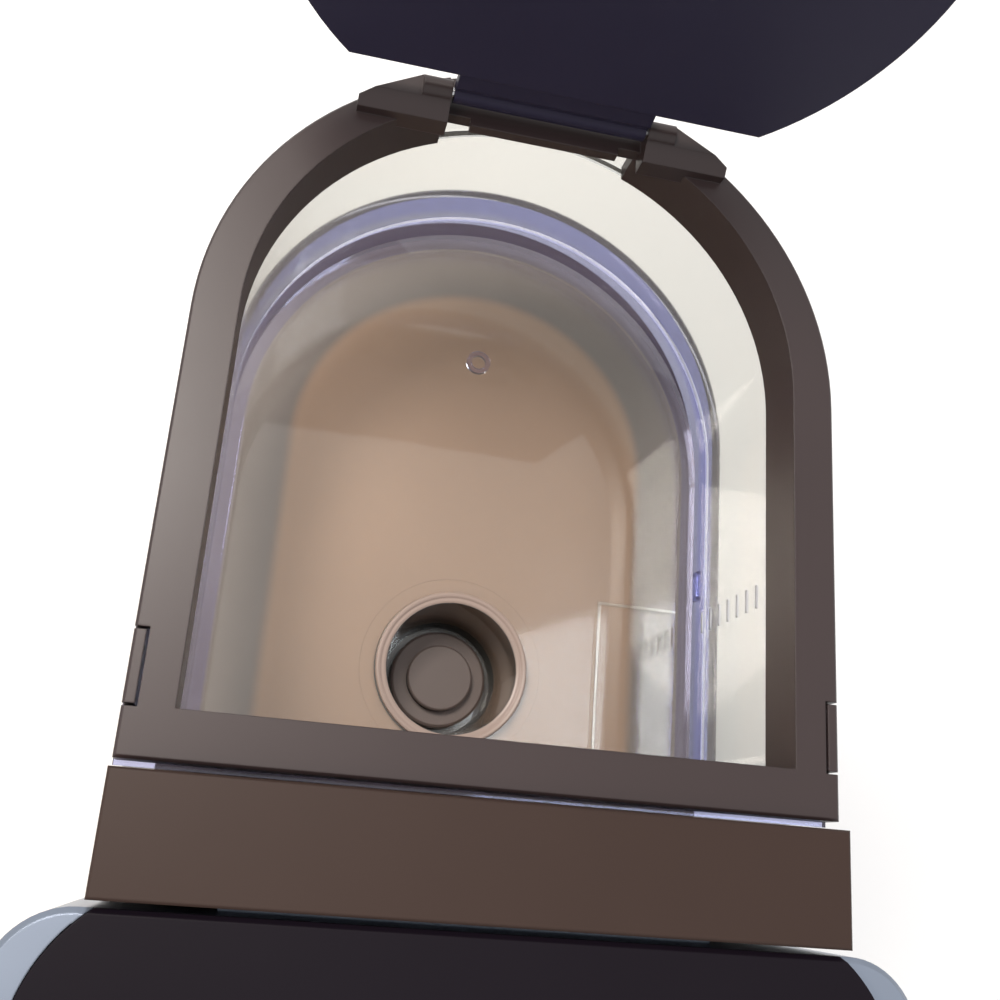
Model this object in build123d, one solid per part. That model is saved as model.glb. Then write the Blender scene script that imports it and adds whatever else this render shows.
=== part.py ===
from build123d import *
import os
from math import cos, pi, radians, sin, sqrt, tan

# A narrow pod coffee maker: a water tank at the back, a brew head at the front, a drip tray below.
# Millimetres, +Z up, the front faces -Y. Places along Y are counted from the collar's front edge and
# the whole machine is centred on the origin at the end. The rest pose has the tank lid open.

# Fits and gaps
flat_gap = 0.3
running_gap = 0.05
slide_gap = 0.4

# Tank collar, the dark frame round the filling opening
collar_top = 272.0
collar_half = 65.0
collar_straight = 83.0
collar_height = 13.0
collar_plate = 2.5
collar_skirt = 2.0
collar_skirt_height = 6.5
rim_width = 8.8
tongue_start = 9.0
tongue_length = 12.5
tongue_depth = 2.6
tongue_slit = 0.5

# Clear water tank
tank_inset = 5.5
tank_wall = 2.0
tank_depth = 60.0
tank_set_back = 1.6
tank_corner_r = 6.0
tank_floor_r = 3.0
flange_thick = 2.0
flange_proud = 0.9
skirt_out = 3.3
skirt_drop = 49.5
skirt_reach = 5.2
skirt_foot = 4.0
cup_y = 30.5
cup_depth = 22.0
cup_top_r = 15.2
cup_bottom_r = 13.2
gate_behind = 25.0
gate_r = 3.0
gate_bore_r = 1.8
gate_height = 1.0

# Tank valve
valve_r = 11.75
valve_flange = 3.4
valve_tube_r = 9.3
valve_tube_length = 10.0
valve_bore_r = 6.5
poppet_r = 8.0
poppet_thick = 1.6
seal_thick = 1.0
stem_r = 1.8
clip_out = 1.4
clip_thick = 1.0
rib_height = 1.8
spring_wire = 0.5
spring_turns = 5
spring_steps = 8

# Tank lid and its hinge
lid_inset = 2.0
lid_thick = 3.6
lid_seat_gap = 0.4
lid_edge_reach = 8.0
lid_open_angle = 100.0
hinge_inset = 10.6
hinge_rise = 4.0
barrel_r = 2.0
barrel_half = 20.5
arm_rise = 1.2
pin_r = 1.0
ear_inner = 21.0
ear_outer = 39.5
ear_rise = 4.5
ear_lead = 1.7
bridge_inset = 14.9
bridge_half = 16.0
bridge_rise = 0.4

# Tank cradle on the rear housing
cradle_floor = 3.0
cradle_skirt = 7.0
pad_gap = 0.8
well_gap = 6.0
well_wall = 2.5
well_depth = 40.0
seal_width = 2.8
seal_height = 3.0
seal_reach = 4.0
dock_wall = 1.7
dock_pin_r = 1.5

# Spine between the tank and the head
spine_depth = 20.4
strip_gap = 1.6
strip_rise = 4.0
strip_thick = 3.0
window_half = 20.0
window_drop = 62.0
neck_half = 45.0
neck_inset = 15.0
vent_rows = 5
vent_pitch = 7.0
vent_height = 3.0
vent_length = 30.0
wall = 2.5

# Brew head
head_gap = 1.2
head_overhang = 14.0
head_length = 134.0
head_drop = 80.0
head_rise = 2.5
head_rear_r = 13.0
head_front_r = 48.0
band_width = 5.2
deck_corner_r = 26.0
deck_rear_bulge = 5.3
deck_length = 53.0
deck_thick = 3.0
jaw_hinge_r = 8.0
jaw_gap = 0.8
jaw_skirt_drop = 30.0
jaw_slope = 38.0
jaw_pin_r = 2.0
post_half = 4.5
post_inner = 42.0
post_outer = 48.0
post_foot = 20.0
lug_width = 6.0

# Pod chamber
pod_y = -118.0
pod_top_r = 24.5
pod_bottom_r = 20.0
pod_depth = 46.0
pod_wall = 2.0
pod_flange_r = 30.0
pod_flange = 2.5
needle_r = 1.6
needle_off = 8.0
jaw_disc_r = 27.0
spout_r = 11.0
spout_length = 12.0

# Buttons
button_r = 6.0
button_pitch = 24.0
button_rise = 1.2
button_skirt = 1.6
bezel_width = 2.0
bezel_height = 4.5
bezel_rise = 0.4
button_travel = 1.2
button_y = -58.0
button_count = 4
button_stem_r = 2.5
button_stem_length = 6.0
dome_height = 3.0
mat_thick = 1.4

# Base, drip tray and feet
base_flare = 1.0
base_front_r = 27.0
base_height = 27.0
plate_thick = 3.0
foot_r = 8.0
foot_height = 3.0
foot_inset = 18.0
tray_wall = 2.0
tray_depth = 20.0
tray_length = 129.0
tray_side = 5.0
grate_gap = 0.3
grate_thick = 2.5
slot_width = 4.0
slot_pitch = 9.0
screw_r = 3.0
screw_inset = 30.0
screw_back = 14.0
shank_r = 1.6
shank_length = 10.0

# Inner works
pump_r = 17.0
pump_length = 62.0
pump_nose = 8.0
heater_r = 22.0
heater_height = 84.0
heater_foot = 5.0
hose_r = 5.2
port_r = 3.9
port_bore_r = 1.9
port_length = 6.0
board_thick = 1.6
board_half = 45.0
board_lift = 10.0
board_height = 80.0
hose_sides = 10
bend_r = 10.0
pump_behind = 17.5
pump_lift = 32.0
heater_behind = 81.5
heater_lift = 40.0
gland_r = 6.0
gland_lift = 13.0

# Levels and lines worked out from the sizes above
tank_half = collar_half - tank_inset
skirt_half = tank_half + skirt_out
base_half = collar_half + base_flare
head_half = collar_half + head_overhang
deck_half = head_half - band_width
floor_top = collar_top - tank_depth
tank_bottom = floor_top - tank_wall
step_top = collar_top - collar_height
flange_top = collar_top - collar_skirt_height
arch_y = collar_straight - 0.2
tank_arch_y = arch_y + tank_set_back
tank_front = rim_width - tank_wall
skirt_front = tank_front - skirt_out
skirt_arch_y = tank_arch_y + skirt_reach
gate_y = arch_y + gate_behind
hinge_y = arch_y + collar_half - hinge_inset
lid_flat_y = hinge_y - lid_edge_reach
bridge_y = arch_y + collar_half - bridge_inset
skirt_inner = collar_half - rim_width
riser_half = tank_half + tank_wall - 0.2
cup_floor = floor_top - cup_depth
valve_top = cup_floor + valve_flange
valve_bottom = cup_floor - tank_wall - valve_tube_length
hinge_z = collar_top + hinge_rise
skirt_top = collar_top - skirt_drop
skirt_low = tank_bottom - skirt_foot
shoulder = skirt_low - flat_gap
cradle_bottom = tank_bottom - cradle_floor - cradle_skirt
well_r = cup_bottom_r + tank_wall + well_gap
well_floor = tank_bottom - well_depth
spine_back = -strip_gap
spine_front = spine_back - spine_depth
strip_top = collar_top + strip_rise
strip_bottom = strip_top - strip_thick
head_back = spine_front - head_gap
head_front = head_back - head_length
head_bottom = collar_top - head_drop
head_top = collar_top + head_rise
deck_front = head_back - deck_length
jaw_y = deck_front - jaw_gap - jaw_hinge_r
jaw_z = head_top - jaw_hinge_r
jaw_bottom = head_top - jaw_skirt_drop
chamber_top = jaw_bottom - jaw_gap - 0.2
holder_top = chamber_top + pod_flange
base_bottom = foot_height + plate_thick
base_top = base_bottom + base_height
tray_floor = base_bottom + plate_thick
tray_top = tray_floor + tray_depth
tray_back = head_back - 8.0
tray_front = tray_back - tray_length
tray_half = base_half - tray_side - slide_gap
tray_neck = tray_front + base_front_r
grate_low = tray_top - grate_thick - slide_gap
base_wall_y = tray_back + slide_gap + wall
board_y = (spine_front + spine_back) / 2 + wall
bezel_r = button_r + slide_gap
collar_level = head_top - bezel_height - 0.5
stem_foot = collar_level - button_stem_length
dome_top = stem_foot - button_travel - flat_gap
mat_low = dome_top - dome_height

pump_y = cup_y + pump_behind
pump_z = base_top + pump_lift
heater_y = cup_y + heater_behind
heater_low = base_top + heater_lift
gland_z = base_bottom + gland_lift
gland_y = skirt_arch_y + skirt_half
open_rad = radians(lid_open_angle)
lid_far_y = (
    hinge_y
    + (lid_inset - hinge_y) * cos(open_rad)
    + (lid_seat_gap + lid_thick - hinge_rise) * sin(open_rad)
)
centre_shift = -(lid_far_y + tray_front) / 2


def block(x0, x1, y0, y1, z0, z1):
    """A box between two corners."""
    size = (abs(x1 - x0), abs(y1 - y0), abs(z1 - z0))
    return Pos((x0 + x1) / 2, (y0 + y1) / 2, (z0 + z1) / 2) * Box(*size)


def rod(r, z0, z1, x=0.0, y=0.0):
    """An upright round bar."""
    return Pos(x, y, (z0 + z1) / 2) * Cylinder(r, z1 - z0)


def ring(outer, inner, z0, z1, x=0.0, y=0.0):
    """An upright tube."""
    return rod(outer, z0, z1, x, y) - rod(inner, z0 - 1, z1 + 1, x, y)


def group(shapes):
    """Several separate solids as one node."""
    return Compound([solid for shape in shapes for solid in shape.solids()])


def cross_rod(r, x0, x1, y, z):
    """A round bar along X."""
    return Pos((x0 + x1) / 2, y, z) * Rot(0, 90, 0) * Cylinder(r, abs(x1 - x0))


def arch_face(half, front, centre):
    """The plan of the tank: straight sides, a flat front and a half-round back."""
    sides = Polyline((-half, centre), (-half, front), (half, front), (half, centre))
    back = ThreePointArc((half, centre), (0, centre + half), (-half, centre))
    return make_face(sides + back)


def arch(half, front, centre, z0, z1):
    """An upright solid with the plan of the tank."""
    return extrude(Pos(0, 0, z0) * arch_face(half, front, centre), z1 - z0)


def tank_arch(half, z0, z1):
    """A solid as wide as given, evenly spaced about the tank's inside."""
    inset = tank_half - tank_wall - half
    return arch(half, rim_width + inset, tank_arch_y, z0, z1)


def slab(half, back, front, back_r, front_r, z0, z1):
    """An upright solid with a rounded oblong plan."""
    plan = Pos(0, (back + front) / 2) * Rectangle(2 * half, back - front)
    corners = plan.vertices().sort_by(Axis.Y)
    if front_r:
        plan = fillet(corners[:2], front_r)
    if back_r:
        plan = fillet(plan.vertices().sort_by(Axis.Y)[-2:], back_r)
    return extrude(Pos(0, 0, z0) * plan, z1 - z0)


def side_profile(points, x0, x1):
    """A solid whose outline is given in Y and Z, as wide as x0 to x1."""
    face = make_face(Polyline(*[(0, y, z) for y, z in points], close=True))
    return Pos(x0, 0, 0) * extrude(face, x1 - x0, dir=(1, 0, 0))


# Water tank

def skirt_plan(z0, z1, inset=0.0):
    """The outline of the tank's lower skirt."""
    return arch(skirt_half - inset, skirt_front + inset, skirt_arch_y, z0, z1)


def front_corners(shape):
    """The two upright edges at the front of an arch."""
    return shape.edges().filter_by(GeomType.LINE).filter_by(Axis.Z).sort_by(Axis.Y)[:2]


def tank_shell():
    """Clear tank with its floor, valve cup, outer skirt, stepped rim and flange."""
    half_in = tank_half - tank_wall
    body = tank_arch(tank_half, tank_bottom, step_top)
    body = fillet(front_corners(body), tank_corner_r)
    skirt = skirt_plan(skirt_low, skirt_top)
    skirt = skirt - skirt_plan(skirt_low - 1, skirt_top - tank_wall, tank_wall)
    body = body + chamfer(skirt.faces().sort_by(Axis.Z)[-1].outer_wire().edges(), tank_wall / 2)
    hollow = tank_arch(half_in, floor_top, step_top + 1)
    hollow = fillet(front_corners(hollow), tank_corner_r - tank_wall)
    body = body - chamfer(hollow.faces().sort_by(Axis.Z)[0].edges(), tank_floor_r)
    step = tank_arch(riser_half, step_top - tank_wall, flange_top)
    step = step - tank_arch(half_in, step_top - 2 * tank_wall, step_top)
    step = step - tank_arch(riser_half - tank_wall, step_top, flange_top + 1)
    flange = arch(
        collar_half + flange_proud / 2, -flange_proud, arch_y, flange_top - flange_thick, flange_top
    )
    flange = flange - tank_arch(riser_half - tank_wall, step_top, flange_top + 1)
    body = body + step + flange
    cup_low = cup_floor - tank_wall
    outer_cup = Pos(0, cup_y, (tank_bottom + cup_low) / 2) * Cone(
        cup_bottom_r + tank_wall, cup_top_r + tank_wall, tank_bottom - cup_low
    )
    inner_cup = Pos(0, cup_y, (floor_top + cup_floor) / 2) * Cone(cup_bottom_r, cup_top_r, cup_depth)
    body = body + outer_cup - inner_cup
    body = body - rod(valve_tube_r + running_gap, cup_low - 1, floor_top, 0, cup_y)
    return body + ring(gate_r, gate_bore_r, floor_top, floor_top + gate_height, 0, gate_y)


def hinge_ears():
    """Two wedge ears behind the opening that hold the lid's pin, and the low bridge between them."""
    front = bridge_y - ear_lead
    ears = None
    for side in (-1, 1):
        plan = Polyline(
            (side * ear_inner, front), (side * ear_outer, front),
            (side * ear_outer, front + 1.8), (side * (ear_inner + 6), hinge_y + 2.6),
            (side * ear_inner, hinge_y + 2.6), close=True,
        )
        low = collar_top - collar_plate
        wedge = extrude(Pos(0, 0, low) * make_face(plan), ear_rise + collar_plate)
        slope = side_profile(
            [(front - 1, collar_top + 1.5), (front - 1, collar_top + 9), (hinge_y, collar_top + 9),
             (front + 3.5, collar_top + ear_rise)],
            min(side * ear_inner, side * ear_outer) - 1, max(side * ear_inner, side * ear_outer) + 1,
        )
        wedge = wedge - slope
        boss = cross_rod(barrel_r + 0.4, side * ear_inner, side * (ear_inner + 6), hinge_y, hinge_z)
        boss = boss + block(
            min(side * ear_inner, side * (ear_inner + 6)), max(side * ear_inner, side * (ear_inner + 6)),
            hinge_y - barrel_r, hinge_y + barrel_r, low, hinge_z,
        )
        ears = wedge + boss if ears is None else ears + wedge + boss
    return ears


def tongue_slits(side):
    """The slit round the snap tongue at one side of the collar, open at the top."""
    inner = side * (collar_half - tongue_depth)
    outer = side * (collar_half + 1)
    tongue_end = tongue_start + tongue_length
    low = flange_top + collar_plate
    slits = block(
        inner, outer, tongue_start - tongue_slit, tongue_end + tongue_slit, low, collar_top + 1
    )
    return slits - block(inner + side * tongue_slit, outer, tongue_start, tongue_end, low, collar_top)


def tank_collar():
    """Dark frame on the tank: flat rim, inner and outer skirts, snap windows and hinge ears."""
    frame = arch(collar_half, 0, arch_y, flange_top, collar_top)
    frame = chamfer(frame.faces().sort_by(Axis.Z)[-1].edges(), 0.5)
    channel = arch(
        collar_half - collar_skirt, collar_skirt, arch_y, flange_top - 1, collar_top - collar_plate
    )
    frame = frame - channel
    lip = tank_arch(riser_half - tank_wall - 0.2, step_top, collar_top - collar_plate + 0.5)
    mouth = arch(skirt_inner, rim_width, tank_arch_y, collar_top - 20, collar_top + 5)
    frame = frame + lip - mouth
    for side in (-1, 1):
        frame = frame - tongue_slits(side)
    gate = block(-ear_inner, ear_inner, bridge_y - ear_lead, collar_top, step_top - 1, collar_top + 1)
    back_skirt = arch(collar_half, 0, arch_y, flange_top, collar_top - 1) - arch(
        collar_half - collar_skirt, collar_skirt, arch_y, flange_top - 1, collar_top
    )
    frame = frame - gate + (back_skirt & gate)
    bridge = block(
        -ear_inner, ear_inner, bridge_y + ear_lead, hinge_y + 6,
        collar_top - collar_plate, collar_top + bridge_rise,
    )
    bridge = bridge + block(
        -bridge_half, bridge_half, bridge_y, hinge_y, collar_top - collar_skirt, collar_top + bridge_rise
    )
    body = frame + hinge_ears() + bridge
    trim = arch(collar_half + 20, -20, arch_y, flange_top - 20, collar_top + 20) - arch(
        collar_half, 0, arch_y, flange_top - 21, collar_top + 21
    )
    body = body - trim
    return body - cross_rod(pin_r, -ear_inner - 5, ear_inner + 5, hinge_y, hinge_z)


def hinge_pin():
    """Steel pin through both ears and the lid's barrel."""
    return cross_rod(pin_r, -ear_inner - 5, ear_inner + 5, hinge_y, hinge_z)


def tank_lid_closed():
    """Tank lid in its closed place: a flat panel, cut straight at the hinge, with arm and barrel."""
    low = collar_top + lid_seat_gap
    panel = arch(collar_half - lid_inset, lid_inset, arch_y, low, low + lid_thick)
    beyond = block(-collar_half, collar_half, lid_flat_y, 2 * hinge_y, low - 1, low + lid_thick + 1)
    panel = panel - beyond
    panel = chamfer(panel.faces().sort_by(Axis.Z)[-1].edges(), 0.8)
    panel = panel - block(-14, 14, lid_inset - 1, lid_inset + 4, low - 1, low + 1.4)
    arm = side_profile(
        [(lid_flat_y - lid_thick, low + arm_rise), (lid_flat_y - lid_thick, low + lid_thick),
         (hinge_y, hinge_z + barrel_r), (hinge_y, hinge_z), (hinge_y - lid_thick, low + arm_rise)],
        -barrel_half, barrel_half,
    )
    barrel = cross_rod(barrel_r, -barrel_half, barrel_half, hinge_y, hinge_z)
    body = panel + arm + barrel
    return body - cross_rod(pin_r + running_gap, -barrel_half - 1, barrel_half + 1, hinge_y, hinge_z)


def tank_lid():
    """Tank lid swung back to its open stop."""
    hinge = Axis((0, hinge_y, hinge_z), (1, 0, 0))
    return tank_lid_closed().rotate(hinge, -lid_open_angle)


def valve_body():
    """Valve seat clipped in the cup: a flange, a tube and three guide ribs for the stem."""
    body = rod(valve_r, cup_floor, valve_top, 0, cup_y)
    body = body + rod(valve_tube_r, valve_bottom, cup_floor, 0, cup_y)
    body = chamfer(body.faces().sort_by(Axis.Z)[-1].edges(), 0.6)
    body = body - rod(valve_bore_r, valve_bottom - 1, valve_top + 1, 0, cup_y)
    rib_top = cup_floor + rib_height
    for turn in range(3):
        rib = block(0, valve_bore_r + 0.5, -0.6, 0.6, cup_floor, rib_top)
        body = body + Pos(0, cup_y, 0) * Rot(0, 0, 120 * turn) * rib
    body = body + rod(stem_r + clip_out, cup_floor, rib_top, 0, cup_y)
    return body - rod(stem_r + running_gap, cup_floor - 1, rib_top + 1, 0, cup_y)


def valve_seal():
    """Rubber ring under the poppet's disc."""
    return ring(poppet_r, poppet_r - 2.2, valve_top, valve_top + seal_thick, 0, cup_y)


def valve_poppet():
    """Disc and stem that the dock's pin lifts, with a clip at the stem's foot."""
    low = valve_top + seal_thick
    disc = rod(poppet_r, low, low + poppet_thick, 0, cup_y)
    disc = chamfer(disc.faces().sort_by(Axis.Z)[-1].edges(), 0.4)
    foot = valve_bottom + clip_thick
    stem = rod(stem_r, foot, low, 0, cup_y)
    clip = rod(stem_r + clip_out, foot, foot + clip_thick, 0, cup_y)
    return disc + stem + clip


def valve_spring():
    """Spring round the stem, between the guide ribs and the stem's clip, in straight chords."""
    mean = stem_r + spring_wire + 4 * running_gap
    low = valve_bottom + clip_thick * 2 + spring_wire
    height = cup_floor - low - spring_wire
    count = spring_turns * spring_steps
    points = [
        (mean * cos(2 * pi * step / spring_steps), mean * sin(2 * pi * step / spring_steps),
         height * step / count)
        for step in range(count + 1)
    ]
    path = Polyline(*points)
    section = Plane(path @ 0, z_dir=path % 0) * Rectangle(spring_wire, spring_wire)
    return Pos(0, cup_y, low) * sweep(section, path, transition=Transition.RIGHT)


# Tank cradle and dock

def cradle_plan(z0, z1, inset=0.0):
    """The outline that the cradle shares with the rear housing."""
    return arch(skirt_half - inset, spine_back - inset, skirt_arch_y, z0, z1)


def tank_cradle():
    """Deck that the tank stands on: a raised pad inside the tank's skirt, and a well for its cup."""
    body = cradle_plan(cradle_bottom, shoulder)
    body = chamfer(body.faces().sort_by(Axis.Z)[-1].edges(), 0.6)
    body = body + skirt_plan(shoulder - 1, tank_bottom, tank_wall + pad_gap)
    body = body - cradle_plan(cradle_bottom - 1, shoulder - cradle_floor, wall)
    body = body + rod(well_r + well_wall, well_floor, tank_bottom - 1, 0, cup_y)
    body = body - rod(well_r, well_floor + well_wall, tank_bottom + 1, 0, cup_y)
    return body - rod(port_r + running_gap, well_floor - 1, well_floor + well_wall + 1, 0, cup_y)


def dock_nipple():
    """Socket in the well that takes the valve's tube, with the pin that lifts the poppet."""
    low = well_floor + well_wall
    top = valve_bottom + seal_reach
    body = rod(valve_tube_r + seal_width + dock_wall, low, top, 0, cup_y)
    body = body - rod(valve_tube_r + seal_width, top - seal_height, top + 1, 0, cup_y)
    body = body - rod(valve_tube_r - dock_wall, low + 2 * dock_wall, top + 1, 0, cup_y)
    body = body - rod(valve_tube_r + slide_gap, valve_bottom - flat_gap, top + 1, 0, cup_y)
    half = valve_tube_r - dock_wall / 2
    for turn in range(2):
        spoke = block(-half, half, -0.8, 0.8, low + dock_wall, low + 3 * dock_wall)
        body = body + Pos(0, cup_y, 0) * Rot(0, 0, 90 * turn) * spoke
    body = body + rod(dock_pin_r, low + dock_wall, valve_bottom + clip_thick - flat_gap, 0, cup_y)
    body = body + rod(port_r, low - well_wall - port_length, low + 0.5, 0, cup_y)
    return body - rod(port_bore_r, low - 2 * port_length, low + dock_wall, 0, cup_y)


def dock_seal():
    """Rubber lip ring round the valve's tube."""
    top = valve_bottom + seal_reach
    return ring(valve_tube_r + seal_width, valve_tube_r + flat_gap, top - seal_height, top, 0, cup_y)


# Rear housing, spine and base

def hose_window(y0, y1):
    """Passage for the hoses between the housings."""
    low = cradle_bottom - window_drop
    return block(-window_half, window_half, y0, y1, low, low + 2 * window_half)


def rear_housing():
    """Shell under the cradle that hides the pump and the heater, with vents at both sides."""
    body = cradle_plan(base_top, cradle_bottom)
    body = body - cradle_plan(base_top - 1, cradle_bottom + 1, wall)
    for row in range(vent_rows):
        low = base_top + 2 * (vent_pitch + row * vent_pitch / 2)
        vent = block(
            -skirt_half - 1, skirt_half + 1, skirt_arch_y - vent_length, skirt_arch_y,
            low, low + vent_height,
        )
        body = body - vent
    return body - hose_window(spine_back - 1, spine_back + 2 * wall)


def spine_housing():
    """Flat column that joins the base, the tank's cradle and the head."""
    outer = block(-collar_half, collar_half, spine_front, spine_back, base_top, strip_bottom)
    inner = block(
        -collar_half + wall, collar_half - wall, spine_front + wall, spine_back - wall,
        base_top - 1, strip_bottom + 1,
    )
    body = outer - inner
    body = body - hose_window(spine_back - wall - 1, spine_back + 1)
    return body - neck_plan(spine_front - 1, spine_front + wall + 1, 0.0)


def neck_plan(y0, y1, inset):
    """Plug on the back of the head that fits the spine's front window."""
    half = neck_half - inset
    rise = neck_inset + inset
    return block(-half, half, y0, y1, head_bottom + rise, head_top - rise)


def strip_cover():
    """Flat cap of the spine, in front of the tank."""
    body = block(-collar_half, collar_half, spine_front, spine_back, strip_bottom, strip_top)
    body = chamfer(body.faces().sort_by(Axis.Z)[-1].edges(), 0.4)
    plug = block(
        -collar_half + wall + 0.1, collar_half - wall - 0.1,
        spine_front + wall + 0.1, spine_back - wall - 0.1, strip_bottom - 4, strip_bottom,
    )
    core = block(
        -collar_half + 2 * wall, collar_half - 2 * wall, spine_front + 2 * wall,
        spine_back - 2 * wall, strip_bottom - 5, strip_bottom,
    )
    return body + plug - core


def base_outline(z0, z1, inset=0.0):
    """The base's plan: the cradle's arch at the back and a rounded front."""
    rear = cradle_plan(z0, z1, inset)
    front = slab(
        base_half - inset, spine_back + 10 * wall, tray_front + inset, 0, base_front_r - inset, z0, z1
    )
    return rear + front


def base_housing():
    """Lower moulding: closed under the tank, open in front as the drip tray's bay."""
    body = base_outline(base_bottom, base_top)
    hollow = base_outline(base_bottom - 1, base_top - wall, wall)
    body = body - (hollow & block(-base_half, base_half, base_wall_y, gland_y, 0, base_top))
    bay_half = tray_half + slide_gap
    ahead = tray_front - base_front_r
    body = body - block(-bay_half, bay_half, ahead, tray_back + slide_gap, tray_floor, base_top + 1)
    body = body - block(-2 * base_half, 2 * base_half, ahead, tray_neck + slide_gap, tray_floor, base_top + 1)
    body = body - block(
        -1.5 * window_half, 1.5 * window_half, spine_front + wall, skirt_arch_y, base_top - wall - 1, base_top + 1
    )
    for x, y in screw_places():
        body = body + rod(screw_r + 2.0, base_bottom, base_top - wall, x, y)
        body = body - rod(shank_r + running_gap, base_bottom - 1, base_bottom + shank_length, x, y)
    return body - gland_bar(gland_r + running_gap, gland_y - 4 * wall, gland_y + 1)


def gland_bar(r, y0, y1):
    """A round bar along Y on the axis of the cord gland."""
    return Pos(0, (y0 + y1) / 2, gland_z) * Rot(90, 0, 0) * Cylinder(r, y1 - y0)


def cord_gland():
    """Gland where the mains cord leaves the back of the base, closed and without its cord."""
    inside = gland_y - wall - 0.6
    body = gland_bar(gland_r, inside - wall, gland_y + gland_r)
    lip = gland_bar(gland_r + 1.5, inside - wall, inside)
    return body + lip - gland_bar(gland_r / 2, gland_y + gland_r / 2, gland_y + gland_r + 1)


def base_plate():
    """Flat underside, with four foot recesses and the screw holes."""
    body = base_outline(foot_height, base_bottom, 0.6)
    for x, y in screw_places():
        body = body - rod(screw_r + running_gap, foot_height - 1, base_bottom + 1, x, y)
    return body


def foot_places():
    """Plan places of the four feet."""
    return [
        (side * (base_half - foot_inset), y)
        for side in (-1, 1)
        for y in (tray_neck, skirt_arch_y)
    ]


def screw_places():
    """Plan places of the four base screws."""
    return [
        (side * (base_half - screw_inset), y)
        for side in (-1, 1)
        for y in (tray_back + screw_back, skirt_arch_y + screw_back)
    ]


def feet():
    """Four rubber feet, glued under the base plate."""
    pads = [
        chamfer(rod(foot_r, 0, foot_height, x, y).faces().sort_by(Axis.Z)[0].edges(), 0.6)
        for x, y in foot_places()
    ]
    return group(pads)


def base_screws():
    """Four screws that hold the base plate to the base housing."""
    heads = [
        rod(screw_r, foot_height + 0.5, base_bottom, x, y)
        + rod(shank_r, base_bottom - 1, base_bottom + shank_length, x, y)
        for x, y in screw_places()
    ]
    cuts = [
        head - block(x - 2, x + 2, y - 0.4, y + 0.4, foot_height, foot_height + 1.3)
        for head, (x, y) in zip(heads, screw_places())
    ]
    return group(cuts)


# Brew head

def head_plan(z0, z1, inset=0.0):
    """The head's plan with its two kinds of corner."""
    return slab(
        head_half - inset, head_back - inset, head_front + inset,
        head_rear_r - inset, head_front_r - inset, z0, z1,
    )


def jaw_side(offset, drop):
    """Side view of the brew lid: a round back about its hinge and a slope tangent to it."""
    r = jaw_hinge_r + offset
    lean = radians(jaw_slope)
    foot = (jaw_y + r * sin(lean), jaw_z - r * cos(lean))
    fall = foot[1] - (jaw_bottom - drop)
    toe = (foot[0] - fall / tan(lean), jaw_bottom - drop)
    top = head_top + 20
    front = head_front - 20
    edge = Polyline(
        (0, foot[0], foot[1]), (0, toe[0], toe[1]), (0, front, toe[1]), (0, front, top), (0, jaw_y, top)
    )
    if offset:
        edge = edge + Line((0, jaw_y, top), (0, jaw_y + r, top)) + Line(
            (0, jaw_y + r, top), (0, jaw_y + r, jaw_z)
        )
        start = (0, jaw_y + r, jaw_z)
        turn = radians(90 - jaw_slope) / 2
        middle = (0, jaw_y + r * cos(turn), jaw_z - r * sin(turn))
    else:
        edge = edge + Line((0, jaw_y, top), (0, jaw_y, jaw_z + r))
        start = (0, jaw_y, jaw_z + r)
        turn = radians(90 - (180 - jaw_slope) / 2)
        middle = (0, jaw_y + r * cos(turn), jaw_z + r * sin(turn))
    edge = edge + ThreePointArc(start, middle, (0, foot[0], foot[1]))
    return Pos(-120, 0, 0) * extrude(make_face(edge), 240, dir=(1, 0, 0))


def deck_outline(z0, z1, inset=0.0):
    """Plan of the black top: wide soft corners, cut straight along the groove at the back."""
    shape = slab(
        deck_half - inset, head_back + deck_rear_bulge - inset, head_front + inset + 5.0,
        deck_corner_r - inset, head_front_r - 5.0 - inset, z0, z1,
    )
    return shape & block(-200, 200, head_front - 10, head_back - inset, z0, z1)


def head_housing():
    """Silver side shell of the head, with a floor, a neck and room for the brew lid."""
    body = head_plan(head_bottom, head_top - 1.0)
    body = chamfer(body.faces().sort_by(Axis.Z)[0].edges(), 4.0)
    body = chamfer(body.faces().sort_by(Axis.Z)[-1].edges(), 1.0)
    body = body - head_plan(head_bottom + wall, head_top + 5, wall + 1.6)
    body = body - head_plan(head_bottom + 2 * wall, head_top + 5, wall)
    rail = head_plan(head_top - 6.0, head_top - 1.0) - deck_outline(head_top - 7, head_top, -0.2)
    rail = rail & head_plan(head_top - 6.0, head_top - 1.0, 1.2)
    body = body + rail
    body = body - jaw_side(jaw_gap, jaw_gap)
    body = body - deck_outline(head_top - deck_thick, head_top + 1, -0.1)
    body = body + (neck_plan(head_back - wall, spine_front + 2 * wall - 0.6, 0.1) - neck_plan(
        head_back - wall - 1, spine_front + 3 * wall, wall
    ))
    body = body - neck_plan(head_back - wall - 1, head_back + 1, wall)
    body = body - rod(spout_r + 1.5, head_bottom - 1, head_bottom + wall + 1, 0, pod_y)
    ledge = head_plan(chamber_top - 5.0, chamber_top - deck_thick, 1.0) - head_plan(
        chamber_top - 6.0, chamber_top, wall + 2.0
    )
    return body + ledge


def head_deck():
    """Fixed black top of the head, between the groove and the brew lid."""
    body = deck_outline(head_top - deck_thick, head_top)
    body = body - jaw_side(jaw_gap, jaw_gap)
    body = chamfer(body.faces().sort_by(Axis.Z)[-1].edges().filter_by(Axis.X).sort_by(Axis.Y)[-1:], 0.8)
    for x in button_places():
        body = body - rod(bezel_r + bezel_width, head_top - 2 * deck_thick, head_top + 1, x, button_y)
    return body


def button_places():
    """Places of the buttons along X."""
    first = -(button_count - 1) / 2 * button_pitch
    return [first + button_pitch * place for place in range(button_count)]


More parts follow.
